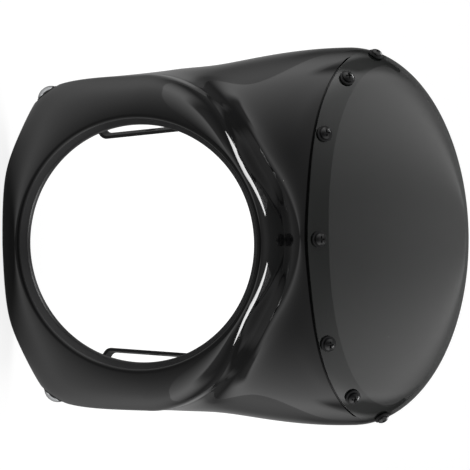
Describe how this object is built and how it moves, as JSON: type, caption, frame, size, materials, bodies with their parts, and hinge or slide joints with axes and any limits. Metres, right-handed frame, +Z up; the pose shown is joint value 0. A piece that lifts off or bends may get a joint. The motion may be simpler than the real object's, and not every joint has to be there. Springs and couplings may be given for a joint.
{
  "type": "headlight cowl",
  "caption": "Motorcycle headlight cowl: gloss black moulded shell with a round lamp opening, a raked smoked windscreen screwed to its upper ledge and two strap brackets inside.",
  "frame": {"origin": "centre of the headlight opening, on its axis, where the lip's straight wall begins", "axes": "+X to the right as seen from the front, +Y back towards the rider along the opening's axis, +Z up"},
  "size_m": [0.3344, 0.1881, 0.3714],
  "materials": {
    "gloss_black_shell": "deep gloss black moulded plastic with light dust",
    "smoked_acrylic": "dark smoked clear sheet, polished",
    "black_hardware": "black oxide steel, satin",
    "black_washer": "matt black nylon",
    "bright_bolt": "bright plated steel",
    "black_rubber": "matt black rubber",
    "plated_nut": "zinc plated steel, dull",
    "black_strap": "black powder coat on steel strap, satin"
  },
  "bodies": {
    "root": {"cowl_shell": "gloss_black_shell", "windscreen": "smoked_acrylic", "screen_screws": "black_hardware", "screen_washers": "black_washer", "screen_nuts": "black_hardware", "bracket_bolts": "bright_bolt", "bolt_washers": "black_rubber", "bracket_nuts": "plated_nut", "right_bracket": "black_strap", "left_bracket": "black_strap"}
  },
  "joints": []
}
